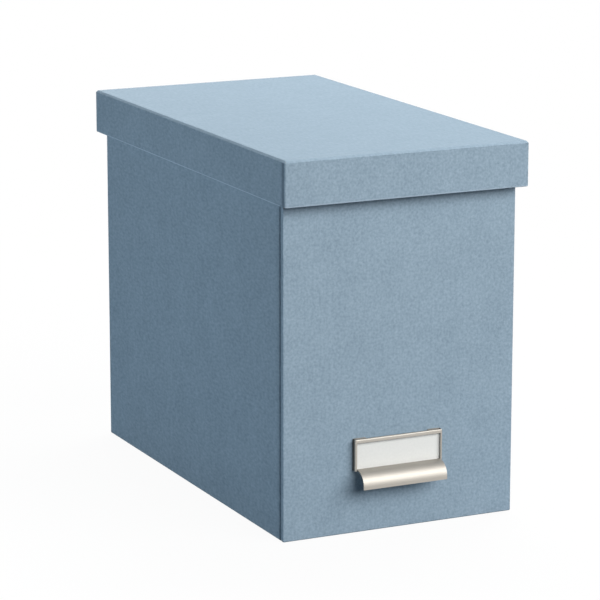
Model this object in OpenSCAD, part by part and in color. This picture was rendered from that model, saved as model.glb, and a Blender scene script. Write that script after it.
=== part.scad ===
// Desktop file box: a paper-covered greyboard box with a lift-off lid and a pressed label pull.
// Millimetres. +Z is up, the front faces -Y, and the origin is the centre of the base on the table.

/* [Box] */
// Outside width of the box, left to right
body_w = 178; // [120:1:260]
// Outside depth of the box, front to back
body_d = 314; // [220:1:420]
// Height of the box's rim above the table
body_h = 264; // [160:1:340]

/* [Lid] */
// How far the lid stands out past the box at the left and right
lid_over_side = 4; // [3.5:0.1:12]
// How far the lid stands out past the box at the front and back, for the ends of the file rods
lid_over_end = 11; // [5:0.5:16]
// Height of the lid's skirt, outside
lid_skirt_h = 32; // [26:1:60]

/* [Board and paper] */
// Thickness of the greyboard
board_t = 2.5; // [1.8:0.1:3]
// Thickness of the covering paper
paper_t = 0.25; // [0.2:0.05:0.4]
// Thickness of the lining paper
lining_t = 0.25; // [0.2:0.05:0.4]
// Radius pressed on the outer edges of the box's boards
edge_r = 0.8; // [0.4:0.1:1.5]
// Width of the upright grooves cut in the side boards, beside the front and back
groove_w = 3.25; // [1.5:0.05:5]
// Depth of the grooves
groove_d = 1.6; // [0.6:0.1:1.7]
// Radius of the grooves' outer edge
groove_r = 1; // [0.3:0.1:1.5]
// Radius pressed on the upper edges of the lid's top board
lid_edge_r = 1.75; // [0.8:0.05:1.75]
// How far the covering paper turns in at the box's rim and under its base
turn_in = 12; // [8:0.5:20]
// How far the covering paper turns in inside the lid's skirt
lid_turn_in = 20; // [8:0.5:22]
// Gap at the seams between two sheets of paper
seam_gap = 0.5; // [0.2:0.1:1]
// Distance from the lid's front and back to the upright seams on its sides
lid_seam_in = 1.2; // [1.1:0.1:3]
// Width of the upright seams on the lid's sides
lid_seam_w = 2; // [0.4:0.1:3]

/* [File rails] */
// Thickness of the rails' sheet steel
rail_t = 0.5; // [0.4:0.1:1]
// Height of the rails' legs, over the rim
rail_leg = 11; // [6:0.5:18]
// Gap from the end of a rail to the side wall
rail_end_gap = 2; // [0.5:0.5:10]

/* [Label pull] */
// How far the pull sits right of the front's middle
pull_x = -2.3; // [-30:0.1:30]
// Height of the bottom of the pull's frame above the table
pull_z = 45.3; // [30:0.1:120]
// Width of the pull's frame
pull_w = 68; // [50:0.1:100]
// Height of the pull's frame
pull_h = 22.5; // [16:0.1:40]
// How far the frame's front stands out from the box
pull_depth = 4.2; // [3.6:0.1:6]
// Thickness of the pull's sheet steel
pull_t = 0.8; // [0.6:0.05:1]
// Inside radius of the pull's bends
bend_r = 0.2; // [0.1:0.05:0.8]
// Radius of the frame's two upper corners, seen from the front
frame_corner_r = 0.8; // [0.4:0.1:2]
// Width of the frame's side bars, beside the window
side_bar = 1.5; // [1.5:0.1:4]
// Height of the frame's top bar, over the window
top_bar = 2.8; // [1.5:0.1:5]
// Straight height of the strip under the lip's first bend
foot_strip = 0.5; // [0.3:0.1:2]
// Width of the two flanges folded in behind the card
flange_w = 9; // [7:0.5:14]
// Width of the two folded tabs that the card stands on
stop_w = 9; // [4:0.5:14]
// How far the tabs reach out from the box
stop_out = 2.6; // [2.2:0.1:2.8]

/* [Finger lip] */
// How far the lip's outside stands out from the box
lip_out = 14.6; // [11.5:0.1:24]
// Slope of the lip's upper part below the horizontal, in degrees
lip_slope = 18; // [5:1:35]
// Outside radius of the lip's curve
lip_r = 10; // [3:0.1:11]
// Straight height of the lip below its curve
lip_drop = 1.9; // [1:0.1:10]
// Gap between each end of the lip and the window's side that it was cut from
lip_cut = 0.1; // [0.05:0.05:0.5]

/* [Label card] */
// Thickness of the card
card_t = 0.4; // [0.2:0.05:0.5]
// Gap at each end of the card in the frame
card_gap = 0.4; // [0.2:0.1:0.6]
// Gap between the card and the rivet heads behind it
card_back_gap = 0.4; // [0.1:0.05:0.6]
// Gap between the card and the top bar's rear edge, in the slot
slot_gap = 0.3; // [0.2:0.05:0.4]
// How far the card's top stays below the top of the frame
card_below = 0.6; // [0:0.1:2]
// Radius of the card's corners
card_r = 1; // [0.5:0.1:2]

/* [Rivets] */
// Diameter of the rivets' shanks
rivet_d = 3; // [2.4:0.1:4]
// Diameter of the rivets' heads
rivet_head_d = 5.6; // [4.4:0.1:7]
// Thickness of the rivets' heads
rivet_head_t = 0.8; // [0.3:0.05:0.8]
// Radius of the rolled end of the rivets
curl_r = 0.5; // [0.3:0.05:0.7]
// Diameter of the hollow in the rivets' ends
hollow_d = 1.8; // [1:0.1:2]
// Depth of the hollow in the rivets' ends
hollow_depth = 2; // [1:0.1:3]
// Gap round the rivets in their holes
rivet_gap = 0.1; // [0.05:0.05:0.3]
// Outside diameter of the washers
washer_d = 8; // [6:0.5:12]
// Thickness of the washers
washer_t = 0.5; // [0.4:0.1:1]

/* [Hidden] */
$fn = 64;
// How far a cut reaches past the face that it opens
past = 1;
wrap_r = edge_r + paper_t;
lid_wrap_r = lid_edge_r + paper_t;
wall_t = paper_t + board_t + lining_t;
half_w = body_w / 2;
half_d = body_d / 2;
side_run = body_d - 2 * (paper_t + board_t);
lid_w = body_w + 2 * lid_over_side;
lid_d = body_d + 2 * lid_over_end;
lid_top = body_h + rail_t + lining_t + board_t + paper_t;
lid_foot = lid_top - lid_skirt_h;
lid_board_z = lid_top - paper_t - board_t;
card_back = pull_t + rivet_head_t + card_back_gap;
slot_out = card_back + card_t + slot_gap;
outer_bend = bend_r + pull_t;
window_w = pull_w - 2 * side_bar;
rivet_x = pull_w / 2 - pull_t - flange_w / 2;

paper_blue = [0.55, 0.64, 0.71];
lining_white = [0.88, 0.87, 0.84];
greyboard = [0.56, 0.53, 0.49];
nickel = [0.78, 0.76, 0.72];
zinc_steel = [0.66, 0.67, 0.68];
card_white = [0.93, 0.93, 0.91];

// Takes a shape made for the front or the left and sets it at the back or the right
module at_back() mirror([0, 1, 0]) children();
module at_right() mirror([1, 0, 0]) children();

// A box from one corner to the opposite one
module block(low, high) translate(low) cube(high - low);

// A rectangle from the origin, with its own radius at each lower and upper corner
module round_rect(w, h, r_low_left, r_low_right, r_high_right, r_high_left) {
    difference() {
        square([w, h]);
        square_corner(0, 0, 1, 1, r_low_left);
        square_corner(w, 0, -1, 1, r_low_right);
        square_corner(w, h, -1, -1, r_high_right);
        square_corner(0, h, 1, -1, r_high_left);
    }
}

// What a corner of radius r loses: its square, less the circle inside it
module square_corner(x, y, to_x, to_y, r) {
    if (r > 0)
        translate([x, y]) difference() {
            translate([to_x < 0 ? -r : -past, to_y < 0 ? -r : -past]) square(r + past);
            translate([to_x * r, to_y * r]) circle(r);
        }
}

// Turns a drawing of (across, up) so that it runs along X, with across going back along +Y
module along_x(length) rotate([90, 0, 90]) linear_extrude(length) children();

// Turns a drawing of (across, up) so that it runs along Y, with across going along +X
module along_y(length) translate([0, length, 0]) rotate([90, 0, 0]) linear_extrude(length) children();

// A standing slab whose outer face is at y = 0, with rounded outer edges, centred on x = 0
module slab(w, t, h, r_side, r_low, r_high) {
    intersection() {
        translate([-w / 2, 0, 0]) linear_extrude(h) round_rect(w, t, r_side, r_side, 0, 0);
        translate([-w / 2, 0, 0]) along_x(w) round_rect(t, h, r_low, 0, 0, r_high);
    }
}

// A flat-topped box whose plan is centred on the origin, with its outer edges rounded
module soft_box(w, d, h, r_side, r_low, r_high) {
    intersection() {
        translate([-w / 2, -d / 2, 0]) linear_extrude(h) round_rect(w, d, r_side, r_side, r_side, r_side);
        translate([-w / 2, -d / 2, 0]) along_x(w) round_rect(d, h, r_low, r_low, r_high, r_high);
        translate([-w / 2, -d / 2, 0]) along_y(d) round_rect(w, h, r_low, r_low, r_high, r_high);
    }
}

// The box's boards: front and back overlap the ends of the sides, and the base lies between them
module end_board() {
    translate([0, paper_t - half_d, paper_t])
        slab(body_w - 2 * paper_t, board_t, body_h - 2 * paper_t, edge_r, edge_r, edge_r);
}

// A side wall's form, with its outer face at y = 0, centred on x = 0: an outer layer between the two
// grooves, and an inner layer that runs on under them
module grooved_slab(w, between, t, h, r_groove, r_edge) {
    slab(between, t, h, r_groove, r_edge, r_edge);
    translate([-w / 2, groove_d, 0]) cube([w, t - groove_d, h]);
}

module side_board_form(t) {
    grooved_slab(side_run, side_run - 2 * groove_w, t, body_h - 2 * paper_t, groove_r, edge_r);
}

module side_board() translate([paper_t - half_w, 0, paper_t]) rotate(-90) side_board_form(board_t);

module front_board() {
    color(greyboard) difference() {
        end_board();
        at_rivets() rivet_hole();
    }
}

module back_board() color(greyboard) at_back() end_board();

module left_board() color(greyboard) side_board();

module right_board() color(greyboard) at_right() side_board();

module base_board() {
    x = half_w - paper_t - board_t;
    y = half_d - paper_t - board_t;
    color(greyboard) block([-x, -y, paper_t], [x, y, paper_t + board_t]);
}

// The flap of covering paper under the base, cut at 45 degrees at its ends; run is the wall's length.
// It starts on the strip under the wall's board, halfway over the strip's flat.
module under_flap(run) {
    near = paper_t + board_t;
    start = (near + wrap_r) / 2;
    end_x = run / 2 - seam_gap;
    linear_extrude(paper_t) polygon([
        [near - end_x, start], [end_x - near, start], [end_x - near, near],
        [end_x - turn_in, turn_in], [turn_in - end_x, turn_in], [near - end_x, near]
    ]);
}

// Covering paper of the front or back: over the face, round the ends, over the rim and under the base
module end_wrap() {
    inner = half_w - wall_t;
    translate([0, -half_d, 0]) {
        difference() {
            slab(body_w, paper_t + board_t, body_h, wrap_r, wrap_r, wrap_r);
            translate([0, paper_t, paper_t])
                slab(body_w - 2 * paper_t, board_t + past, body_h - 2 * paper_t, edge_r, edge_r, edge_r);
        }
        block([-inner, paper_t + board_t, body_h - turn_in], [inner, wall_t, body_h]);
        block([-inner, (paper_t + board_t + wrap_r) / 2, body_h - paper_t], [inner, wall_t, body_h]);
        under_flap(body_w);
    }
}

// Covering paper of a side: over the face, into the grooves at its ends, over the rim and under the base
module side_wrap() {
    inner = side_run / 2 - seam_gap;
    translate([-half_w, 0, 0]) rotate(-90) {
        difference() {
            grooved_slab(2 * inner, side_run - 2 * (groove_w - paper_t), paper_t + board_t, body_h,
                groove_r + paper_t, wrap_r);
            translate([0, paper_t, paper_t]) side_board_form(board_t + past);
        }
        block([-inner, paper_t + board_t, body_h - turn_in], [inner, wall_t, body_h]);
        block([-inner, (paper_t + board_t + wrap_r) / 2, body_h - paper_t], [inner, wall_t, body_h]);
        under_flap(body_d);
    }
}

module front_wrap() {
    color(paper_blue) difference() {
        end_wrap();
        at_rivets() rivet_hole();
    }
}

module back_wrap() color(paper_blue) at_back() end_wrap();

module left_wrap() color(paper_blue) side_wrap();

module right_wrap() color(paper_blue) at_right() side_wrap();

module base_sheet() {
    x = half_w - turn_in - seam_gap;
    y = half_d - turn_in - seam_gap;
    color(paper_blue) block([-x, -y, 0], [x, y, paper_t]);
}

module wall_lining() {
    x = half_w - paper_t - board_t;
    y = half_d - paper_t - board_t;
    low = paper_t + board_t + lining_t;
    high = body_h - turn_in - seam_gap;
    color(lining_white) difference() {
        block([-x, -y, low], [x, y, high]);
        block([lining_t - x, lining_t - y, low - past], [x - lining_t, y - lining_t, high + past]);
        at_rivets() rivet_hole();
    }
}

module floor_lining() {
    x = half_w - paper_t - board_t;
    y = half_d - paper_t - board_t;
    low = paper_t + board_t;
    color(lining_white) block([-x, -y, low], [x, y, low + lining_t]);
}

// Steel channel pressed over the rim, where the hooks of the hanging files ride
module end_rail() {
    length = body_w - 2 * (wall_t + rail_end_gap);
    across = wall_t + 2 * rail_t;
    translate([-length / 2, -half_d - rail_t, body_h - rail_leg])
        along_x(length) difference() {
            round_rect(across, rail_leg + rail_t, 0, 0, rail_t, rail_t);
            translate([rail_t, -past]) square([wall_t, rail_leg + past]);
        }
}

module front_rail() color(zinc_steel) end_rail();

module back_rail() color(zinc_steel) at_back() end_rail();

// Sets a shape at the pull: x along the front, y = 0 on the box's face, z = 0 at the frame's bottom
module at_pull() translate([pull_x, -half_d, pull_z]) children();

// Sets a shape at each rivet, with its axis along +Z pointing out of the box's front
module at_rivets() {
    at_pull() for (side = [-1, 1])
        translate([side * rivet_x, 0, pull_h / 2]) rotate([90, 0, 0]) children();
}

module rivet_hole() {
    translate([0, 0, -wall_t - past])
        cylinder(d = rivet_d + 2 * rivet_gap, h = wall_t + pull_t + 2 * past);
}

// A rounded tray that is open at the back, for the outside and the inside of the pull's frame
module frame_form(w, depth, low, high, r_bend, r_corner) {
    intersection() {
        translate([-w / 2, 0, low]) rotate([90, 0, 0])
            linear_extrude(depth) round_rect(w, high - low, 0, 0, r_corner, r_corner);
        translate([-w / 2, -depth, low])
            linear_extrude(high - low) round_rect(w, depth, r_bend, r_bend, 0, 0);
        translate([-w / 2, -depth, low]) along_x(w) round_rect(depth, high - low, 0, 0, 0, r_bend);
    }
}

// The frame: front bars round the window, side walls and a short top wall in front of the card's slot
module pull_frame() {
    inside_w = pull_w - 2 * pull_t;
    difference() {
        frame_form(pull_w, pull_depth, 0, pull_h, outer_bend, frame_corner_r);
        translate([0, past, 0])
            frame_form(inside_w, pull_depth - pull_t + past, -past, pull_h - pull_t, bend_r, 0);
        block([-window_w / 2, -pull_depth - past, foot_strip],
            [window_w / 2, -pull_depth + pull_t + past, pull_h - top_bar]);
        block([-inside_w / 2, -slot_out, pull_h - outer_bend], [inside_w / 2, past, pull_h + past]);
    }
}

// A flange behind the card and the tab under the card, folded in from the left side wall
module pull_flange() {
    x = -pull_w / 2 + pull_t / 2;
    block([x, -pull_t, 0], [x + pull_t / 2 + flange_w, 0, pull_h]);
    block([x, -stop_out, 0], [x + pull_t / 2 + stop_w, 0, pull_t]);
}

// The lip's section, with across pointing out of the box: a bend out of the window's foot, a slope,
// a curve and a straight drop. Each form is a full outside less a full inside, one sheet thinner.
module lip_section() {
    reach = 2 * lip_out;
    bend_x = pull_depth + bend_r;
    slope_run = (lip_out - lip_r - bend_x - (outer_bend - lip_r) * sin(lip_slope)) / cos(lip_slope);
    curve = [slope_run, outer_bend - lip_r];
    inner_r = lip_r - pull_t;
    translate([bend_x, foot_strip]) {
        difference() {
            intersection() {
                circle(outer_bend);
                translate([-reach, -foot_strip]) square(2 * reach);
            }
            circle(bend_r);
            translate([-bend_r, -reach]) square(reach);
            rotate(-lip_slope) translate([0, bend_r - reach]) square(reach);
        }
        rotate(-lip_slope) difference() {
            union() {
                square([slope_run, outer_bend]);
                translate(curve) rotate(lip_slope) {
                    intersection() {
                        circle(lip_r);
                        translate([-reach, -lip_drop]) square(2 * reach);
                    }
                    translate([0, -lip_drop]) square([lip_r, lip_drop]);
                }
            }
            translate([slope_run - reach, bend_r - reach]) square(reach);
            translate(curve) rotate(lip_slope) {
                circle(inner_r);
                translate([inner_r - reach, -reach]) square(reach);
            }
        }
    }
}

module pull_lip() {
    lip_w = window_w - 2 * lip_cut;
    mirror([0, 1, 0]) translate([-lip_w / 2, 0, 0]) along_x(lip_w) lip_section();
}

module label_pull() {
    color(nickel) difference() {
        at_pull() {
            pull_frame();
            pull_flange();
            at_right() pull_flange();
            pull_lip();
        }
        at_rivets() rivet_hole();
    }
}

// A rivet with its axis on +Z: a flat head on the flange, and a hollow end rolled over the washer
module rivet() {
    end = -wall_t - washer_t;
    translate([0, 0, pull_t]) cylinder(d = rivet_head_d, h = rivet_head_t);
    difference() {
        union() {
            translate([0, 0, end - curl_r]) cylinder(d = rivet_d, h = pull_t - end + curl_r);
            rotate_extrude() intersection() {
                translate([rivet_d / 2, end - curl_r / 2]) circle(curl_r);
                translate([0, end - 2 * curl_r]) square([rivet_d, 2 * curl_r]);
            }
        }
        translate([0, 0, end - 2 * curl_r]) cylinder(d = hollow_d, h = hollow_depth);
    }
}

module pull_rivets() color(nickel) at_rivets() rivet();

module rivet_washers() {
    color(zinc_steel) at_rivets() translate([0, 0, -wall_t - washer_t]) difference() {
        cylinder(d = washer_d, h = washer_t);
        translate([0, 0, -past]) cylinder(d = rivet_d + 2 * rivet_gap, h = washer_t + 2 * past);
    }
}

module label_card() {
    w = pull_w - 2 * (pull_t + card_gap);
    h = pull_h - pull_t - card_below;
    color(card_white) at_pull() translate([-w / 2, -card_back, pull_t])
        rotate([90, 0, 0]) linear_extrude(card_t) round_rect(w, h, card_r, card_r, card_r, card_r);
}

// The lid's boards: the top lies on the four skirt boards, and front and back overlap the sides
module lid_top_board() {
    color(greyboard) translate([0, 0, lid_board_z])
        soft_box(lid_w - 2 * paper_t, lid_d - 2 * paper_t, board_t, edge_r, 0, lid_edge_r);
}

module lid_end_board() {
    translate([0, paper_t - lid_d / 2, lid_foot + paper_t])
        slab(lid_w - 2 * paper_t, board_t, lid_board_z - lid_foot - paper_t, edge_r, edge_r, 0);
}

module lid_side_board() {
    run = lid_d - 2 * (paper_t + board_t);
    translate([paper_t - lid_w / 2, 0, lid_foot + paper_t]) rotate(-90)
        slab(run, board_t, lid_board_z - lid_foot - paper_t, 0, edge_r, 0);
}

module lid_front_board() color(greyboard) lid_end_board();

module lid_back_board() color(greyboard) at_back() lid_end_board();

module lid_left_board() color(greyboard) lid_side_board();

module lid_right_board() color(greyboard) at_right() lid_side_board();

// Covering paper of the lid: over the top and skirt, under the skirt's edge and turned in inside it
module lid_wrap() {
    x = lid_w / 2 - paper_t - board_t;
    y = lid_d / 2 - paper_t - board_t;
    color(paper_blue) difference() {
        union() {
            difference() {
                translate([0, 0, lid_foot]) soft_box(lid_w, lid_d, lid_skirt_h, wrap_r, wrap_r, lid_wrap_r);
                translate([0, 0, lid_foot + paper_t])
                    soft_box(lid_w - 2 * paper_t, lid_d - 2 * paper_t, lid_skirt_h - 2 * paper_t,
                        edge_r, edge_r, lid_edge_r);
                block([paper_t - x, paper_t - y, lid_foot - past],
                    [x - paper_t, y - paper_t, lid_foot + paper_t + past]);
            }
            difference() {
                block([-x, -y, lid_foot], [x, y, lid_foot + lid_turn_in]);
                block([paper_t - x, paper_t - y, lid_foot - past],
                    [x - paper_t, y - paper_t, lid_foot + lid_turn_in + past]);
            }
        }
        lid_seams();
    }
}

// The four upright seams of the lid's covering paper, on its sides just behind the front and back
module lid_seams() {
    x = lid_w / 2;
    y = lid_d / 2 - lid_seam_in;
    for (flip_x = [0, 1], flip_y = [0, 1])
        mirror([flip_x, 0, 0]) mirror([0, flip_y, 0])
            block([-x - past, -y, lid_foot + wrap_r],
                [paper_t + board_t / 2 - x, lid_seam_w - y, lid_top - lid_wrap_r]);
}

module lid_lining() {
    x = lid_w / 2 - paper_t - board_t;
    y = lid_d / 2 - paper_t - board_t;
    low = lid_foot + lid_turn_in + seam_gap;
    color(lining_white) difference() {
        block([-x, -y, low], [x, y, lid_board_z]);
        block([lining_t - x, lining_t - y, low - past], [x - lining_t, y - lining_t, lid_board_z - lining_t]);
    }
}

front_board();
back_board();
left_board();
right_board();
base_board();
front_wrap();
back_wrap();
left_wrap();
right_wrap();
base_sheet();
wall_lining();
floor_lining();
front_rail();
back_rail();
label_pull();
pull_rivets();
rivet_washers();
label_card();
lid_top_board();
lid_front_board();
lid_back_board();
lid_left_board();
lid_right_board();
lid_wrap();
lid_lining();
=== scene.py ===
import bmesh
import bpy
import numpy as np
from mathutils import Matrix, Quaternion, Vector


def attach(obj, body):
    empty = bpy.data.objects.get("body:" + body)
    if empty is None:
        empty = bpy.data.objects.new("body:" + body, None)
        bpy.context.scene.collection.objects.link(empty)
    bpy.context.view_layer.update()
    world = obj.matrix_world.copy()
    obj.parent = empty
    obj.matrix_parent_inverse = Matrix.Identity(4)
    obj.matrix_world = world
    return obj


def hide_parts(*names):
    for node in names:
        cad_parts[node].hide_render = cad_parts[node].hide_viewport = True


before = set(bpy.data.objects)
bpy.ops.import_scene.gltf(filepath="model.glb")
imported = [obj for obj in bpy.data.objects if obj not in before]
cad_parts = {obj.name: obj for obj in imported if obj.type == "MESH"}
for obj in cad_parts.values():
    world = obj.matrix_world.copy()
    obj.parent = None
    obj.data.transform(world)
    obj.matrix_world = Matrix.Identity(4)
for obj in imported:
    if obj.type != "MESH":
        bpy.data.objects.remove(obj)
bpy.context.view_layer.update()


# Greyboard carcass of the box: five boards of 2.5 mm recycled board, glued edge to edge.
# Paper covers them inside and out, so they show only in the narrow seams between the sheets,
# where a dark band of painted shade lies on them.

MM = 0.001
# How far from the middle the front and back sheets meet the side sheets, and how far the painted shade
# reaches on the board there
SEAM_Y, SEAM_SHADE_HALF = 154.2, 0.8


def linear(code):
    """An sRGB hex colour as linear red, green and blue, with an alpha of 1."""
    srgb = np.array([int(code[i:i + 2], 16) for i in (1, 3, 5)]) / 255
    rgb = np.where(srgb <= 0.04045, srgb / 12.92, ((srgb + 0.055) / 1.055) ** 2.4)
    return (*(float(c) for c in rgb), 1.0)


def new_material(name):
    """An empty node material."""
    material = bpy.data.materials.new(name)
    material.use_nodes = True
    material.node_tree.nodes.clear()
    return material


def add_node(material, kind, inputs=None, **settings):
    """Adds a node: settings are its own properties, inputs are values or other nodes' outputs."""
    made = material.node_tree.nodes.new(kind)
    for name, value in settings.items():
        setattr(made, name, value)
    for key, value in (inputs or {}).items():
        if isinstance(value, bpy.types.NodeSocket):
            material.node_tree.links.new(value, made.inputs[key])
        else:
            made.inputs[key].default_value = value
    return made


def dress(material, *names):
    """Gives a material to CAD nodes."""
    for name in names:
        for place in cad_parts[name].material_slots:
            place.material = material


def greyboard():
    """Recycled greyboard: dull warm grey with dark and pale specks of pulp 0.8 mm across.
    Beside the seams it is painted dark blue-grey, as painted shade."""
    board = new_material("greyboard")
    place = add_node(board, "ShaderNodeTexCoord").outputs["Object"]
    specks = add_node(board, "ShaderNodeTexNoise", {"Vector": place, "Scale": 1 / (0.8 * MM), "Detail": 3.0})
    pulp = add_node(board, "ShaderNodeMix", {
        0: specks.outputs["Fac"], 6: linear("#7E776C"), 7: linear("#A39B8E")}, data_type="RGBA")
    along = add_node(board, "ShaderNodeSeparateXYZ", {0: place}).outputs["Y"]
    away = add_node(board, "ShaderNodeMath", {0: along}, operation="ABSOLUTE").outputs[0]
    # Painted shade: a dark blue-grey band on the board where it shows in the seams
    seam_and_shade = add_node(board, "ShaderNodeMath", {
        0: away, 1: SEAM_Y * MM, 2: SEAM_SHADE_HALF * MM}, operation="COMPARE")
    colour = add_node(board, "ShaderNodeMix", {
        0: seam_and_shade.outputs[0], 6: pulp.outputs[2], 7: linear("#2B343D")}, data_type="RGBA")
    bump = add_node(board, "ShaderNodeBump", {
        "Height": specks.outputs["Fac"], "Strength": 0.5, "Distance": 0.1 * MM})
    shader = add_node(board, "ShaderNodeBsdfPrincipled", {
        "Base Color": colour.outputs[2], "Roughness": 0.95, "Specular IOR Level": 0.15,
        "Normal": bump.outputs["Normal"]})
    add_node(board, "ShaderNodeOutputMaterial", {"Surface": shader.outputs[0]})
    return board


grey_pulp = greyboard()
dress(grey_pulp, "front_board", "back_board", "left_board", "right_board", "base_board")


# Covering paper of the box: sheets of dyed, uncoated paper glued on, one to a wall, folded over the rim
# to a turn-in and under the base to a flap, and a plain one below. Front and back sheets turn round the
# corners. The side sheets run up to them, pressed at the front into a groove with shade painted in it.

BOARD, PAPER = 2.5, 0.25
BOX_W, BOX_D, BOX_H = 178.0, 314.0, 264.0
FOLD_R = 1.05
TURN_IN = 12.0
RETURN = 2.7
LINED_WALL = BOARD + 2 * PAPER
FLAP_GAP = 0.5
GROOVE_FROM, GROOVE_DEPTH, GROOVE_EDGE = 151.0, 0.85, 0.8
PANEL_R = 0.3
# How dark shade is painted at each front corner's groove, and how far along the face before it the shade
# starts
GROOVE_SHADE, GROOVE_SHADE_REACH = 0.3, 5.0
CREASE_AT, CREASE_HALF = 0.45, 0.22
WALL_CREASE, CORNER_CREASE, WALL_SLACK = 0.05, 0.04, 0.06
# Heights between the lid's skirt and its top, where the paper's mottle is painted weaker, as light from
# above shows less relief
LID_TOP = 267.5
TOP_EVEN_FROM, TOP_EVEN_TO = LID_TOP - 1.5, LID_TOP - 0.2
# Points of a sheet that are nearer than this are one point
JOIN = 0.002

# Cosine and sine of no turn and of one, two and three quarter turns
QUARTER_TURNS = ((1, 0), (0, 1), (-1, 0), (0, -1))
# Angles at which an arc of a quarter turn is sampled
quarter = np.linspace(0, np.pi / 2, 9)
# Distances from a fold's end at which a sheet is sampled, fine where the crease lies
near_fold = np.array([0, 0.12, 0.24, 0.36, 0.48, 0.6, 0.75, 0.95, 1.3, 1.8, 2.5, 4.0])


def crease(away, depth):
    """Depth of the crease beside a fold: a bell-shaped dip 0.45 mm from the fold's end, 0.4 mm wide."""
    return depth * np.exp(-((away - CREASE_AT) / CREASE_HALF) ** 2)


def slack(a, b, seed):
    """How far glued paper lies below a flat plane, from 0 to 1, at a and b in mm: two crossed sine waves
    135 and 182 mm long, multiplied, and a finer one 48 mm long."""
    one = np.sin(a / 23 + b / 61 + seed) * np.sin(b / 31 - a / 83 + 2 * seed)
    two = np.sin(a / 9.1 - b / 13.7 + 3 * seed)
    return 0.5 + 0.35 * one + 0.15 * two


def across(half, steps):
    """Places from -half to half, fine beside both ends and even between them."""
    middle = np.linspace(near_fold[-1] - half, half - near_fold[-1], steps)
    return np.concatenate([near_fold[:-1] - half, middle, half - near_fold[-2::-1]])


def wall_section(height):
    """The line that a wall's sheet follows, as (inset, z): flap, fold, face, fold, rim, turn-in.
    Flap and rim are flat, sampled at places a little closer beside the folds."""
    flap = np.array([TURN_IN, 9, 6, 4, 3.2, RETURN, 2.1, 1.6])
    face = across(height / 2 - FOLD_R, 66) + height / 2
    behind = np.array([1.5, 2.1, RETURN])
    down = np.linspace(height - 0.6, height - TURN_IN, 6)
    inset = np.concatenate([
        flap, FOLD_R * (1 - np.sin(quarter)), 0 * face[1:-1], FOLD_R * (1 - np.cos(quarter)), behind,
        LINED_WALL - PAPER * (1 - np.sin(quarter)), LINED_WALL + 0 * down])
    z = np.concatenate([
        0 * flap, FOLD_R * (1 - np.cos(quarter)), face[1:-1], height - FOLD_R * (1 - np.sin(quarter)),
        height + 0 * behind, height - PAPER * (1 - np.cos(quarter)), down])
    return inset, z


def end_sheet(seed, corner_r):
    """Front sheet before it is placed, as (x, depth into the box, z) on a grid of section and plan.
    At each inset the plan is the wall's outline moved in by it: return, corner arc, face, arc, return.
    Past the corner's radius the arc shrinks to the mitre point."""
    inset, z = wall_section(BOX_H)
    inset, z = inset[:, None], z[:, None]
    half = BOX_W / 2
    arc_r = np.maximum(corner_r - inset, 0)
    mid = np.maximum(corner_r, inset)
    under = np.where((z == 0) & (inset > FOLD_R), np.clip(inset - FOLD_R, 0, 1) * FLAP_GAP, 0)
    corner_x = half - mid - under
    face = across(half - corner_r, 58)[None, 1:-1]
    share = face / (half - corner_r)
    run = np.array([0, 0.5])[None]
    flat = np.clip(1 - inset / FOLD_R, 0, 1)
    left_x = np.concatenate([
        -(half - inset) + 0 * run, -corner_x - arc_r * np.cos(quarter)], axis=1)
    left_y = np.concatenate([
        RETURN + (mid - RETURN) * run, mid - arc_r * np.sin(quarter)], axis=1)
    away = half - corner_r - np.abs(face)
    dip = crease(away, CORNER_CREASE) + crease(z - FOLD_R, WALL_CREASE)
    dip = dip + WALL_SLACK * slack(face, z, seed)
    x = np.concatenate([left_x, corner_x * share, -left_x[:, ::-1]], axis=1)
    depth = np.concatenate([left_y, inset + flat * dip, left_y[:, ::-1]], axis=1)
    corner = left_x.shape[1] - 1
    whole = np.repeat(inset <= RETURN + 1e-6, x.shape[1], axis=1)
    whole[:, corner:-corner] = True
    keep = whole[:-1, :-1] & whole[1:, :-1] & whole[:-1, 1:] & whole[1:, 1:]
    return np.stack([x, depth, z + 0 * x], axis=-1), keep, 0 * x


def side_sheet(seed, front):
    """Side sheet before it is placed, as (x, depth, z): the section carried along the wall.
    At its front end, on the side of x that front gives, the plan rounds over into the groove, and the
    sheet lies on the groove's wall and floor, with shade painted on it. Its flap is mitred."""
    inset, z = wall_section(BOX_H)
    inset, z = inset[:, None], z[:, None]
    face = np.linspace(-SEAM_Y, GROOVE_FROM - GROOVE_EDGE, 110)
    floor = np.linspace(GROOVE_FROM, SEAM_Y, 5)
    over = GROOVE_FROM - GROOVE_EDGE * (1 - np.sin(quarter[1:]))
    along = np.concatenate([face, over, floor])[None]
    plan = np.concatenate([
        0 * face, GROOVE_EDGE * (1 - np.cos(quarter[1:])), 0 * floor + GROOVE_DEPTH])[None]
    flat = np.clip(1 - inset / FOLD_R, 0, 1) * (plan == 0)
    dip = crease(z - FOLD_R, WALL_CREASE) + WALL_SLACK * slack(along, z, seed)
    reach = np.minimum(SEAM_Y, BOX_D / 2 - FLAP_GAP - inset)
    x = np.clip(along, -reach, reach)
    depth = np.maximum(inset, plan) + flat * dip
    # Painted shade, darkest where the face rounds over into the groove
    tone = np.interp(along, [GROOVE_FROM - GROOVE_SHADE_REACH, GROOVE_FROM, SEAM_Y], [0, GROOVE_SHADE, 0]) + 0 * x
    points = np.stack([x, depth, z + 0 * x], axis=-1)
    keep = np.ones((x.shape[0] - 1, x.shape[1] - 1), bool)
    if front < 0:
        return points[:, ::-1] * (-1, 1, 1), keep, tone[:, ::-1]
    return points, keep, tone


def at_wall(points, turns, far):
    """Turns a sheet by quarter turns about Z and sets its face far mm from the middle."""
    x, y = points[..., 0], points[..., 1] - far
    c, s = QUARTER_TURNS[turns]
    return np.stack([c * x - s * y, s * x + c * y, points[..., 2]], axis=-1)


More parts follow.
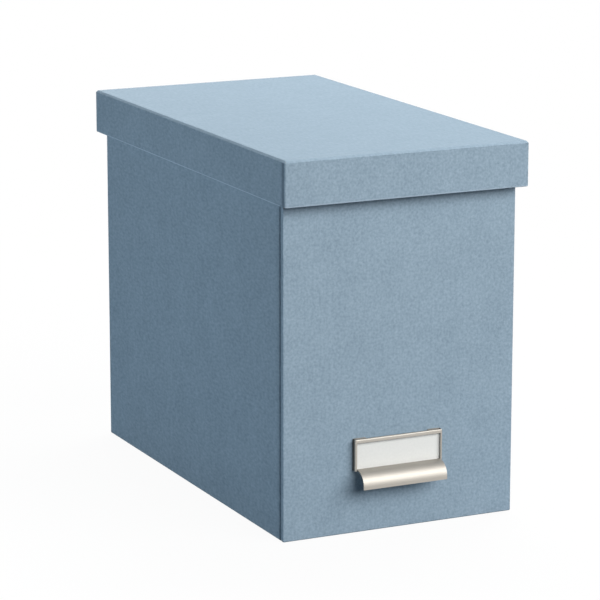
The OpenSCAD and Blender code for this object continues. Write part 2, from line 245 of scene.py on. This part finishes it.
def sheet_piece(name, patches, thickness, material, sharp=40):
    """One piece from grids of mm points: quads where each grid is kept, joined where points meet.
    A grid's tone, above 0 where shade is painted darker and below 0 where light is painted paler, goes with
    it.
    The sheet is thickened inwards, and edges that turn by more than sharp degrees shade as edges."""
    starts = np.cumsum([0] + [grid[..., 0].size for grid, keep, tone in patches])
    quads = []
    for start, (grid, keep, tone) in zip(starts, patches):
        index = start + np.arange(grid[..., 0].size).reshape(grid.shape[:2])
        cells = np.stack([index[:-1, :-1], index[:-1, 1:], index[1:, 1:], index[1:, :-1]], axis=-1)
        quads.append(cells[keep])
    points = np.concatenate([grid.reshape(-1, 3) for grid, keep, tone in patches]) * MM
    mesh = bpy.data.meshes.new(name)
    mesh.from_pydata(points.tolist(), [], np.concatenate(quads).tolist())
    tones = np.concatenate([np.broadcast_to(tone, grid.shape[:2]).ravel() for grid, keep, tone in patches])
    mesh.attributes.new("tone", "FLOAT", "POINT").data.foreach_set("value", tones.astype(np.float32))
    work = bmesh.new()
    work.from_mesh(mesh)
    bmesh.ops.remove_doubles(work, verts=work.verts, dist=JOIN * MM)
    bmesh.ops.delete(work, geom=[v for v in work.verts if not v.link_faces], context="VERTS")
    work.to_mesh(mesh)
    work.free()
    piece = bpy.data.objects.new(name, mesh)
    bpy.context.scene.collection.objects.link(piece)
    thicken = piece.modifiers.new("thickness", "SOLIDIFY")
    thicken.thickness, thicken.offset, thicken.use_even_offset = thickness * MM, -1, True
    made = bpy.data.meshes.new_from_object(piece.evaluated_get(bpy.context.evaluated_depsgraph_get()))
    piece.modifiers.clear()
    piece.data = made
    made.polygons.foreach_set("use_smooth", np.ones(len(made.polygons), bool))
    made.set_sharp_from_angle(angle=np.radians(sharp))
    made.materials.append(material)
    return piece


def covering_paper():
    """Uncoated paper dyed in the pulp: matte, with felted specks of fibre 2 mm across,
    drawn out front to back.
    Longer fibres that lie upright and slow clouds 30 mm across vary the dye too, and the felt and the
    fibres stand in relief. On the lid's top the mottle is painted weaker, since light from above shows
    the relief less than light grazing the walls. The fold at the lid's foot is painted paler, as painted
    light, and the grooves are painted darker, as painted shade."""
    paper = new_material("dyed_covering_paper")
    place = add_node(paper, "ShaderNodeTexCoord").outputs["Object"]
    grain = add_node(paper, "ShaderNodeMapping", {"Vector": place, "Scale": (1.0, 0.45, 1.0)})
    felt = add_node(paper, "ShaderNodeTexNoise", {
        "Vector": grain.outputs[0], "Scale": 1 / (1.9 * MM), "Detail": 2.0, "Roughness": 0.6})
    upright = add_node(paper, "ShaderNodeMapping", {"Vector": place, "Scale": (1.0, 0.45, 0.16)})
    fibres = add_node(paper, "ShaderNodeTexNoise", {
        "Vector": upright.outputs[0], "Scale": 1 / (1.4 * MM), "Detail": 2.0})
    slow = add_node(paper, "ShaderNodeTexNoise", {
        "Vector": place, "Scale": 1 / (30 * MM), "Detail": 3.0, "Roughness": 0.6})
    both = add_node(paper, "ShaderNodeMix", {
        0: 0.2, 2: felt.outputs["Fac"], 3: fibres.outputs["Fac"]}, data_type="FLOAT")
    wide = add_node(paper, "ShaderNodeMix", {
        0: 0.22, 2: both.outputs[0], 3: slow.outputs["Fac"]}, data_type="FLOAT")
    height = add_node(paper, "ShaderNodeSeparateXYZ", {0: place}).outputs["Z"]
    # On the lid's top the mottle is painted weaker: painted light, since light from above shows the relief
    # less
    top_evenness = add_node(paper, "ShaderNodeMapRange", {
        "Value": height, "From Min": TOP_EVEN_FROM * MM, "From Max": TOP_EVEN_TO * MM,
        "To Max": 0.28}).outputs[0]
    palest = add_node(paper, "ShaderNodeMath", {0: 1.0, 1: top_evenness}, operation="SUBTRACT")
    spread = add_node(paper, "ShaderNodeMapRange", {
        "Value": wide.outputs[0], "From Min": 0.32, "From Max": 0.68,
        "To Min": top_evenness, "To Max": palest.outputs[0]})
    dyed = add_node(paper, "ShaderNodeMix", {
        0: spread.outputs[0], 6: linear("#879BAA"), 7: linear("#A1B5C4")}, data_type="RGBA")
    tone = add_node(paper, "ShaderNodeAttribute", attribute_name="tone").outputs["Fac"]
    # Painted light: folds with a negative tone are painted paler
    painted_light = add_node(paper, "ShaderNodeMapRange", {"Value": tone, "From Min": 0.0, "From Max": -1.0})
    with_painted_light = add_node(paper, "ShaderNodeMix", {
        0: painted_light.outputs[0], 6: dyed.outputs[2], 7: linear("#C0D2E0")}, data_type="RGBA")
    # Painted shade: grooves with a positive tone are painted darker
    painted_shade = add_node(paper, "ShaderNodeMapRange", {"Value": tone})
    colour = add_node(paper, "ShaderNodeMix", {
        0: painted_shade.outputs[0], 6: with_painted_light.outputs[2], 7: linear("#3F5161")}, data_type="RGBA")
    bump = add_node(paper, "ShaderNodeBump", {
        "Height": both.outputs[0], "Strength": 0.5, "Distance": 0.22 * MM})
    shader = add_node(paper, "ShaderNodeBsdfPrincipled", {
        "Base Color": colour.outputs[2], "Roughness": 0.9, "Specular IOR Level": 0.1,
        "Normal": bump.outputs["Normal"]})
    add_node(paper, "ShaderNodeOutputMaterial", {"Surface": shader.outputs[0]})
    return paper


blue_paper = covering_paper()
for name, sheet, turns, far in (
        ("front", end_sheet(0.4, PANEL_R), 0, BOX_D / 2),
        ("right", side_sheet(1.7, -1), 1, BOX_W / 2),
        ("back", end_sheet(2.9, FOLD_R), 2, BOX_D / 2),
        ("left", side_sheet(4.2, 1), 3, BOX_W / 2)):
    points, keep, tone = sheet
    piece = sheet_piece(name + "_paper", [(at_wall(points, turns, far), keep, tone)], PAPER, blue_paper)
    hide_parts(name + "_wrap")
    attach(piece, "box")
dress(blue_paper, "base_sheet")


# Lining paper of the box: white uncoated paper glued to the inside of the walls and to the floor.
# It starts just under the covering paper's turn-in.

def lining_paper():
    """White uncoated paper: warm white, with faint felted clouds 2 mm across and a fine tooth."""
    paper = new_material("white_lining_paper")
    place = add_node(paper, "ShaderNodeTexCoord").outputs["Object"]
    clouds = add_node(paper, "ShaderNodeTexNoise", {"Vector": place, "Scale": 1 / (2 * MM), "Detail": 4.0})
    colour = add_node(paper, "ShaderNodeMix", {
        0: clouds.outputs["Fac"], 6: linear("#DAD7CF"), 7: linear("#EBE9E3")}, data_type="RGBA")
    bump = add_node(paper, "ShaderNodeBump", {
        "Height": clouds.outputs["Fac"], "Strength": 0.3, "Distance": 0.1 * MM})
    shader = add_node(paper, "ShaderNodeBsdfPrincipled", {
        "Base Color": colour.outputs[2], "Roughness": 0.9, "Specular IOR Level": 0.2,
        "Normal": bump.outputs["Normal"]})
    add_node(paper, "ShaderNodeOutputMaterial", {"Surface": shader.outputs[0]})
    return paper


white_lining = lining_paper()
dress(white_lining, "wall_lining", "floor_lining")


# File rails: two channels folded from 0.5 mm zinc-plated steel strip and pressed over the rims.
# The hooks of the hanging files slide on them.

def zinc_steel():
    """Zinc-plated steel strip: cool grey metal with soft clouds 3 mm across. Drawn lines along X, 0.4 mm
    apart, vary its roughness."""
    steel = new_material("zinc_plated_steel")
    place = add_node(steel, "ShaderNodeTexCoord").outputs["Object"]
    drawn = add_node(steel, "ShaderNodeMapping", {"Vector": place, "Scale": (0.02, 1.0, 1.0)})
    lines = add_node(steel, "ShaderNodeTexNoise", {
        "Vector": drawn.outputs[0], "Scale": 1 / (0.4 * MM), "Detail": 2.0})
    clouds = add_node(steel, "ShaderNodeTexNoise", {"Vector": place, "Scale": 1 / (3 * MM), "Detail": 3.0})
    colour = add_node(steel, "ShaderNodeMix", {
        0: clouds.outputs["Fac"], 6: linear("#B4B7BA"), 7: linear("#CCCED0")}, data_type="RGBA")
    rough = add_node(steel, "ShaderNodeMapRange", {
        "Value": lines.outputs["Fac"], "To Min": 0.28, "To Max": 0.46})
    shader = add_node(steel, "ShaderNodeBsdfPrincipled", {
        "Base Color": colour.outputs[2], "Metallic": 1.0, "Roughness": rough.outputs[0]})
    add_node(steel, "ShaderNodeOutputMaterial", {"Surface": shader.outputs[0]})
    return steel


rail_steel = zinc_steel()
dress(rail_steel, "front_rail", "back_rail")


# Label pull: one piece of 0.8 mm steel sheet, pressed to a shallow frame and plated with satin nickel.
# The finger lip is lanced out of the window and bent down over the front.
# Two flanges behind the card are riveted through the wall to washers, and two tabs carry the card.

PULL_X, PULL_Z = -2.3, 45.3
PULL_W, PULL_H, PULL_OUT = 68.0, 22.5, 4.2
NICKEL_T = 0.8
FRAME_BEND = 1.0
FRAME_CORNER = 0.8
SIDE_BAR, TOP_BAR = 1.5, 2.8
SLOT_OUT = 2.7
FLANGE_W, TAB_OUT = 9.0, 2.6
# How dark shade is painted on the frame's walls, and from where and over what run back towards the paper
WALL_SHADE, WALL_SHADE_FROM, WALL_SHADE_RUN = 0.95, 0.6, 1.5
DEBURR = 0.09
LIP_W, LIP_OUT, LIP_R, LIP_DROP, LIP_FOOT = 64.8, 14.6, 10.0, 1.9, 0.5
LIP_SLOPE = np.radians(18)


def on_front(x, out, z):
    """Points of the pull: x along its frame, out from the box's face, z up from the frame's foot."""
    x, out, z = np.broadcast_arrays(x, out, z)
    return np.stack([PULL_X + x, -BOX_D / 2 - out, PULL_Z + z], axis=-1)


def pull_frame():
    """The frame's outer skin: rows from the window's edge round the bend to the wall's rear edge,
    each carried up the left side, round the corner, along the top and down the right side. Shade
    is painted on the walls, from the bend back, darker towards the paper."""
    bend = np.concatenate([[SIDE_BAR], FRAME_BEND * (1 - np.sin(quarter)), [0, 0, 0]])[:, None]
    out = np.concatenate([
        [PULL_OUT], PULL_OUT - FRAME_BEND * (1 - np.cos(quarter)), [SLOT_OUT + 0.25, SLOT_OUT, 0]])[:, None]
    bar = np.where(bend == SIDE_BAR, TOP_BAR, bend)
    round_r = np.maximum(FRAME_CORNER - bend, 0)
    side = np.maximum(FRAME_CORNER, bend)
    top = np.maximum(FRAME_CORNER, bar)
    half = PULL_W / 2
    up = np.linspace(0, 1, 12)[None]
    inside = half - NICKEL_T
    # The top bar's left half: a step where its wall is cut short over the slot, then even places
    half_top = np.array([-1, -1 + 1e-4, *np.linspace(-0.97, -0.03, 12)])
    left_x = np.concatenate([
        -(half - bend) + 0 * up, -(half - side) - round_r * np.cos(quarter[1:])], axis=1)
    left_z = np.concatenate([
        up * (PULL_H - top), PULL_H - top + round_r * np.sin(quarter[1:])], axis=1)
    reach = np.minimum(inside, half - side)
    top_x = reach * half_top[None]
    top_z = PULL_H - bar + 0 * top_x
    left_x, left_z = np.concatenate([left_x, top_x], 1), np.concatenate([left_z, top_z], 1)
    short = np.zeros(left_x.shape[1], bool)
    short[up.shape[1] + len(quarter):] = True
    depth = np.where(short[None] & (out < SLOT_OUT), SLOT_OUT, out + 0 * left_x)
    x = np.concatenate([left_x, -left_x[:, ::-1]], axis=1)
    z = np.concatenate([left_z, left_z[:, ::-1]], axis=1)
    depth = np.concatenate([depth, depth[:, ::-1]], axis=1)
    # Painted shade on the walls, growing from the bend back towards the paper
    wall_shade = WALL_SHADE * np.clip((PULL_OUT - WALL_SHADE_FROM - depth) / WALL_SHADE_RUN, 0, 1)
    return on_front(x, depth, z), np.ones((x.shape[0] - 1, x.shape[1] - 1), bool), wall_shade


def finger_lip():
    """The lip's upper skin, a line carried along the window: drop, curve, slope, bend and foot."""
    bend_out = PULL_OUT + FRAME_BEND - NICKEL_T
    curve_out = LIP_OUT - LIP_R
    run = (curve_out - bend_out - (FRAME_BEND - LIP_R) * np.sin(LIP_SLOPE)) / np.cos(LIP_SLOPE)
    curve_z = LIP_FOOT - run * np.sin(LIP_SLOPE) + (FRAME_BEND - LIP_R) * np.cos(LIP_SLOPE)
    turn = np.linspace(0, np.pi / 2 - LIP_SLOPE, 25)
    first = np.linspace(np.pi / 2 - LIP_SLOPE, np.pi, 13)
    drop = np.linspace(-LIP_DROP, 0, 8)[:-1]
    slope = np.linspace(0, 1, 8)[1:-1]
    top_out, top_z = curve_out + LIP_R * np.cos(turn[-1]), curve_z + LIP_R * np.sin(turn[-1])
    end_out = bend_out + FRAME_BEND * np.cos(first[0])
    end_z = LIP_FOOT + FRAME_BEND * np.sin(first[0])
    out = np.concatenate([
        LIP_OUT + 0 * drop, curve_out + LIP_R * np.cos(turn), top_out + slope * (end_out - top_out),
        bend_out + FRAME_BEND * np.cos(first), [bend_out - FRAME_BEND]])[:, None]
    z = np.concatenate([
        curve_z + drop, curve_z + LIP_R * np.sin(turn), top_z + slope * (end_z - top_z),
        LIP_FOOT + FRAME_BEND * np.sin(first), [0]])[:, None]
    x = np.linspace(-LIP_W / 2, LIP_W / 2, 40)[None]
    return on_front(x, out, z), np.ones((out.shape[0] - 1, x.shape[1] - 1), bool), 0


def flange_and_tab(side):
    """Flat grids at one end: the riveted flange behind the card, facing out, and the tab, facing up."""
    x = np.sort(side * (PULL_W / 2 - np.linspace(NICKEL_T / 2, NICKEL_T + FLANGE_W, 6)))[None]
    flange = on_front(x, NICKEL_T, np.linspace(0, PULL_H, 8)[:, None])
    tab = on_front(x, np.linspace(TAB_OUT, 0, 4)[:, None], NICKEL_T)
    return [(grid, np.ones((grid.shape[0] - 1, grid.shape[1] - 1), bool), 0) for grid in (flange, tab)]


def satin_nickel():
    """Satin nickel plate on brushed steel: a warm pale metal whose brushing along X blurs what it mirrors.
    The brushing is drawn coarser than it is, 0.25 mm apart, and roughness varies a little with it. The
    plate is matt enough to scatter nearly a third of the light, so it isn't fully metallic. Painted shade
    turns the frame's walls dark brown, for their shade and the shadowed paper they mirror."""
    nickel = new_material("satin_nickel_plate")
    place = add_node(nickel, "ShaderNodeTexCoord").outputs["Object"]
    brushed = add_node(nickel, "ShaderNodeMapping", {"Vector": place, "Scale": (0.015, 1.0, 1.0)})
    lines = add_node(nickel, "ShaderNodeTexNoise", {
        "Vector": brushed.outputs[0], "Scale": 1 / (0.25 * MM), "Detail": 2.0})
    rough = add_node(nickel, "ShaderNodeMapRange", {
        "Value": lines.outputs["Fac"], "To Min": 0.44, "To Max": 0.56})
    plate = add_node(nickel, "ShaderNodeMix", {
        0: lines.outputs["Fac"], 6: linear("#A19C94"), 7: linear("#AEA9A1")}, data_type="RGBA")
    # Painted shade on the frame's walls, dark brown, from the tone
    wall_shade = add_node(nickel, "ShaderNodeAttribute", attribute_name="tone").outputs["Fac"]
    colour = add_node(nickel, "ShaderNodeMix", {
        0: wall_shade, 6: plate.outputs[2], 7: linear("#2A221B")}, data_type="RGBA")
    bump = add_node(nickel, "ShaderNodeBump", {
        "Height": lines.outputs["Fac"], "Strength": 0.1, "Distance": 0.02 * MM})
    shader = add_node(nickel, "ShaderNodeBsdfPrincipled", {
        "Base Color": colour.outputs[2], "Metallic": 0.7, "Roughness": rough.outputs[0],
        "Normal": bump.outputs["Normal"]})
    add_node(nickel, "ShaderNodeOutputMaterial", {"Surface": shader.outputs[0]})
    return nickel


nickel_plate = satin_nickel()
pull = sheet_piece(
    "pressed_label_pull", [pull_frame(), finger_lip(), *flange_and_tab(-1), *flange_and_tab(1)],
    NICKEL_T, nickel_plate, sharp=30)
edges = pull.modifiers.new("deburred_edges", "BEVEL")
edges.width, edges.segments = DEBURR * MM, 2
edges.limit_method, edges.angle_limit = "ANGLE", np.radians(50)
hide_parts("label_pull")
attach(pull, "box")
dress(nickel_plate, "pull_rivets")
dress(rail_steel, "rivet_washers")


# Label card: plain white card, cut with rounded corners. It drops into the pull from above and stands
# on the two tabs, behind the window.

def white_card():
    """White card: smooth and matte, with very faint pulp clouds 1.5 mm across."""
    card = new_material("white_card")
    place = add_node(card, "ShaderNodeTexCoord").outputs["Object"]
    clouds = add_node(card, "ShaderNodeTexNoise", {"Vector": place, "Scale": 1 / (1.5 * MM), "Detail": 4.0})
    colour = add_node(card, "ShaderNodeMix", {
        0: clouds.outputs["Fac"], 6: linear("#E6E6E2"), 7: linear("#EFEFEB")}, data_type="RGBA")
    shader = add_node(card, "ShaderNodeBsdfPrincipled", {
        "Base Color": colour.outputs[2], "Roughness": 0.75, "Specular IOR Level": 0.3})
    add_node(card, "ShaderNodeOutputMaterial", {"Surface": shader.outputs[0]})
    return card


dress(white_card(), "label_card")


# Lid: a top board on four skirt boards, covered by one sheet of the same dyed paper.
# The sheet is folded over the top's edges and round the skirt's foot, and turned in inside it.
# It is glued down in a shallow groove behind each front corner. A white lining covers the rest inside.

LID_W, LID_D = 186.0, 336.0
LID_SKIRT = 32.0
LID_FOOT = LID_TOP - LID_SKIRT
LID_CHAMFER, LID_EASE = 1.45, 0.6
LID_FOLD = LID_CHAMFER + LID_EASE * np.tan(np.pi / 8)
LID_TURN_IN = 20.0
SEAM_FROM_END, SEAM_HALF, SEAM_DEPTH = 3.1, 2.2, 0.18
# How dark shade is painted in the lid's grooves, and how pale light is painted on the fold at its foot
LID_SEAM_SHADE, FOOT_LIGHT = 0.6, -0.8
LAP_FROM_END, LAP_STEP, LAP_RUN = 15.0, 0.09, 1.2
LID_CREASE, TOP_CREASE, LID_SLACK = 0.04, 0.06, 0.05
TOP_BORDER = 5.0


def lid_section():
    """The line that the lid's sheet follows, as (inset, z): turn-in, foot, skirt, fold and the top."""
    inside = np.linspace(LID_FOOT + LID_TURN_IN, LID_FOOT + 0.6, 6)
    under = np.array([2.2, 1.8, 1.4])
    low, high = LID_FOOT + FOLD_R, LID_TOP - LID_FOLD
    skirt = across((high - low) / 2, 22) + (high + low) / 2
    ease = np.linspace(0, np.pi / 4, 5)
    rise, step_in = LID_EASE * np.sin(ease), LID_EASE * (1 - np.cos(ease))
    top = LID_FOLD + near_fold[1:-1]
    inset = np.concatenate([
        LINED_WALL + 0 * inside, LINED_WALL - PAPER * (1 - np.cos(quarter)), under,
        FOLD_R * (1 - np.sin(quarter)), 0 * skirt[1:-1], step_in, (LID_FOLD - rise)[::-1],
        top, [TOP_BORDER]])
    z = np.concatenate([
        inside, LID_FOOT + PAPER * (1 - np.sin(quarter)), LID_FOOT + 0 * under,
        LID_FOOT + FOLD_R * (1 - np.cos(quarter)), skirt[1:-1], high + rise, (LID_TOP - step_in)[::-1],
        LID_TOP + 0 * top, [LID_TOP]])
    return inset[:, None], z[:, None]


def lid_sheet():
    """The lid's sheet: its section carried round the plan, a rectangle with rounded corners moved in by
    the section's inset, and a flat grid that fills the top. Behind the front corners the sides dip in a
    bell-shaped groove with shade painted in it, and the fold at the foot is painted pale, as painted light.
    On the ends the sheet lies deeper between the corner laps."""
    inset, z = lid_section()
    arc_r, mid = np.maximum(FOLD_R - inset, 0), np.maximum(FOLD_R, inset)
    ends = across(LID_W / 2 - FOLD_R, 40)
    laps = LID_W / 2 - LAP_FROM_END + np.linspace(-1.5, 1.5, 7)
    ends = np.unique(np.concatenate([ends, laps, -laps]).round(6))
    sides = across(LID_D / 2 - FOLD_R, 60)
    marks = LID_D / 2 - np.linspace(1.2, 8.2, 15)
    sides = np.unique(np.concatenate([sides, marks, -marks]).round(6))
    groove = np.exp(-((LID_D / 2 - SEAM_FROM_END - np.abs(sides)) / SEAM_HALF) ** 2)[None]
    skirt = np.clip(1 - inset / FOLD_R, 0, 1) * (z < LID_TOP - LID_FOLD + 1e-6)
    on_top = (z > LID_TOP - 1e-6)
    lap = np.clip((LID_W / 2 - LAP_FROM_END - np.abs(ends)) / LAP_RUN + 0.5, 0, 1)
    step = LAP_STEP * lap * lap * (3 - 2 * lap)
    low_z = z - LID_FOOT - FOLD_R
    end_dip = skirt * (step + crease(low_z, LID_CREASE) + LID_SLACK * slack(ends[None], z, 5.1))
    side_dip = skirt * (crease(low_z, LID_CREASE) + LID_SLACK * slack(sides[None], z, 6.3))
    sink = on_top * crease(inset - LID_FOLD, TOP_CREASE)
    at_foot = (inset > 0) & (inset < FOLD_R) & (z < LID_FOOT + FOLD_R)
    # Painted light: the fold at the foot is painted paler
    foot_light = FOOT_LIGHT * at_foot
    # The grooves' masks: they sink the sheet and carry the shade painted in it
    no_groove_and_shade = 0 * skirt * ends[None]
    right_groove_and_shade, left_groove_and_shade = skirt * groove * (sides[None] < 0), skirt * groove * (sides[None] > 0)
    x, y, tone = [], [], []
    for turns, places, half, far, dip, seam_and_shade in (
            (0, ends, LID_W / 2, LID_D / 2, end_dip, no_groove_and_shade),
            (1, sides, LID_D / 2, LID_W / 2, side_dip, right_groove_and_shade),
            (2, ends, LID_W / 2, LID_D / 2, end_dip, no_groove_and_shade),
            (3, sides, LID_D / 2, LID_W / 2, side_dip, left_groove_and_shade)):
        arc = quarter[None, :-1]
        dip = dip + SEAM_DEPTH * seam_and_shade
        tone.append(np.concatenate([foot_light + 0 * arc, np.where(seam_and_shade > 0.01, LID_SEAM_SHADE * seam_and_shade, foot_light)], axis=1))
        run = (places / (half - FOLD_R))[None] * (half - mid)
        u = np.concatenate([-(half - mid) - arc_r * np.cos(arc), run], axis=1)
        v = np.concatenate([mid - arc_r * np.sin(arc), inset + dip + 0 * run], axis=1) - far
        c, s = QUARTER_TURNS[turns]
        x.append(c * u - s * v)
        y.append(s * u + c * v)
    x, y = np.concatenate(x + [x[0][:, :1]], axis=1), np.concatenate(y + [y[0][:, :1]], axis=1)
    tone = np.concatenate(tone + [tone[0][:, :1]], axis=1)
    band = np.stack([x, y, z - sink + 0 * x], axis=-1)
    keep = np.ones((x.shape[0] - 1, x.shape[1] - 1), bool)
    flat_x = ends / (LID_W / 2 - FOLD_R) * (LID_W / 2 - TOP_BORDER)
    flat_y = sides / (LID_D / 2 - FOLD_R) * (LID_D / 2 - TOP_BORDER)
    gx, gy = np.meshgrid(flat_x, flat_y)
    rim = (np.abs(gx) > flat_x[-1] - 1e-9) | (np.abs(gy) > flat_y[-1] - 1e-9)
    sag = np.where(rim, 0, LID_SLACK * slack(gx, gy, 7.7))
    flat = np.stack([gx, gy, LID_TOP - sag], axis=-1)
    return [(band, keep, tone), (flat, np.ones((gx.shape[0] - 1, gx.shape[1] - 1), bool), 0)]


dress(
    grey_pulp, "lid_top_board", "lid_front_board", "lid_back_board", "lid_left_board", "lid_right_board")
lid_paper = sheet_piece("lid_paper", lid_sheet(), PAPER, blue_paper)
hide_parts("lid_wrap")
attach(lid_paper, "lid")
dress(white_lining, "lid_lining")


# Studio: a pale floor that keeps the object's shadow, a white room and four softboxes: the key in front
# at the right, one high at the back right, a weak one at the left and one behind.
# What the floor throws back on the box is weaker than it looks, and fades away from the box.

FLOOR_HALF, FLOOR_DROP = 6.0, 0.0003
# Distances in metres over which the floor's bounce fades and its shadow goes to white
BOUNCE_FROM, BOUNCE_TO = 0.3, 0.6
SHADOW_FROM, SHADOW_TO = 0.3, 0.9
grid = np.linspace(-FLOOR_HALF, FLOOR_HALF, 3)
gx, gy = np.meshgrid(grid, grid)
points = np.stack([gx, gy, np.full_like(gx, -FLOOR_DROP)], axis=-1).reshape(-1, 3)
index = np.arange(9).reshape(3, 3)
cells = np.stack([index[:-1, :-1], index[:-1, 1:], index[1:, 1:], index[1:, :-1]], axis=-1).reshape(-1, 4)
floor_mesh = bpy.data.meshes.new("floor")
floor_mesh.from_pydata(points.tolist(), [], cells.tolist())
floor = bpy.data.objects.new("floor", floor_mesh)
bpy.context.scene.collection.objects.link(floor)


def seen_rays(material):
    """1 for rays that show the background itself: from the camera, off gloss and through glass."""
    path = add_node(material, "ShaderNodeLightPath")
    either = add_node(material, "ShaderNodeMath", {
        0: path.outputs["Is Camera Ray"], 1: path.outputs["Is Glossy Ray"]}, operation="MAXIMUM")
    return add_node(material, "ShaderNodeMath", {
        0: either.outputs[0], 1: path.outputs["Is Transmission Ray"]}, operation="MAXIMUM").outputs[0]


floor_paint = new_material("white_painted_floor")
seen = seen_rays(floor_paint)
on_floor = add_node(floor_paint, "ShaderNodeTexCoord").outputs["Object"]
from_box = add_node(
    floor_paint, "ShaderNodeVectorMath", {0: on_floor}, operation="LENGTH").outputs["Value"]
far_off = add_node(floor_paint, "ShaderNodeMapRange", {
    "Value": from_box, "From Min": BOUNCE_FROM, "From Max": BOUNCE_TO})
bounce = add_node(floor_paint, "ShaderNodeMix", {
    0: far_off.outputs[0], 6: linear("#606F7C"), 7: linear("#1A1F24")}, data_type="RGBA")
floor_colour = add_node(floor_paint, "ShaderNodeMix", {
    0: seen, 6: bounce.outputs[2], 7: linear("#E4E4E4")}, data_type="RGBA")
shade = add_node(floor_paint, "ShaderNodeBsdfDiffuse", {"Color": floor_colour.outputs[2]})
white = add_node(floor_paint, "ShaderNodeEmission", {"Color": (1.0, 1.0, 1.0, 1.0), "Strength": 1.0})
whiteness = add_node(floor_paint, "ShaderNodeMapRange", {
    "Value": from_box, "From Min": SHADOW_FROM, "From Max": SHADOW_TO, "To Min": 0.95, "To Max": 1.0})
lift = add_node(floor_paint, "ShaderNodeMath", {0: seen, 1: whiteness.outputs[0]}, operation="MULTIPLY")
paint = add_node(floor_paint, "ShaderNodeMixShader", {
    0: lift.outputs[0], 1: shade.outputs[0], 2: white.outputs[0]})
add_node(floor_paint, "ShaderNodeOutputMaterial", {"Surface": paint.outputs[0]})
floor_mesh.materials.append(floor_paint)

room = bpy.data.worlds.new("white_room")
room.use_nodes = True
room.node_tree.nodes.clear()
backdrop = add_node(room, "ShaderNodeBackground", {
    "Color": (1.0, 1.0, 1.0, 1.0), "Strength": seen_rays(room)})
add_node(room, "ShaderNodeOutputWorld", {"Surface": backdrop.outputs[0]})
bpy.context.scene.world = room


def direction(azimuth, elevation):
    """The direction of a place seen from the box, in degrees: azimuth 0 is in front, 90 at the right."""
    a, e = np.radians(azimuth), np.radians(elevation)
    return Vector((np.sin(a) * np.cos(e), -np.cos(a) * np.cos(e), np.sin(e)))


def softbox(name, azimuth, elevation, away, wide, tall, watts, tint):
    """An area light that faces the middle of the box from a direction, away metres off."""
    lamp = bpy.data.lights.new(name, "AREA")
    lamp.shape, lamp.size, lamp.size_y = "RECTANGLE", wide, tall
    lamp.energy, lamp.color = watts, linear(tint)[:3]
    towards = direction(azimuth, elevation)
    made = bpy.data.objects.new(name, lamp)
    made.rotation_mode = "QUATERNION"
    made.rotation_quaternion = towards.to_track_quat("Z", "Y")
    made.location = Vector((0, 0, BOX_H * MM / 2)) + towards * away
    bpy.context.scene.collection.objects.link(made)


softbox("softbox_key", 25, 27.5, 2.1, 2.4, 1.25, 53.6, "#FFFFFF")
softbox("softbox_over", 128, 62, 2.0, 1.1, 1.1, 30.3, "#FFFFFF")
softbox("softbox_left", -92, 10, 0.7, 1.0, 0.4, 2.45, "#E6F4FF")
softbox("softbox_back", 170, 18, 1.9, 0.95, 0.95, 20.0, "#FFFFFF")


# Camera: a long lens at the front left, a little above the lid.
# Its place, direction and lens were fitted to the edges of box and lid in the photograph.

CAMERA_EYE = (-0.9272, -1.9303, 0.6217)
CAMERA_AZIMUTH, CAMERA_ELEVATION, CAMERA_ROLL = -25.6285, 12.9453, 0.0435
camera = bpy.data.objects.new("camera", bpy.data.cameras.new("camera"))
camera.data.sensor_width, camera.data.lens = 36.0, 179.573
roll = Quaternion((0, 0, 1), np.radians(CAMERA_ROLL))
camera.rotation_mode = "QUATERNION"
camera.rotation_quaternion = direction(CAMERA_AZIMUTH, CAMERA_ELEVATION).to_track_quat("Z", "Y") @ roll
camera.location = CAMERA_EYE
bpy.context.scene.collection.objects.link(camera)
bpy.context.scene.camera = camera
bpy.context.scene.view_settings.view_transform = "Standard"
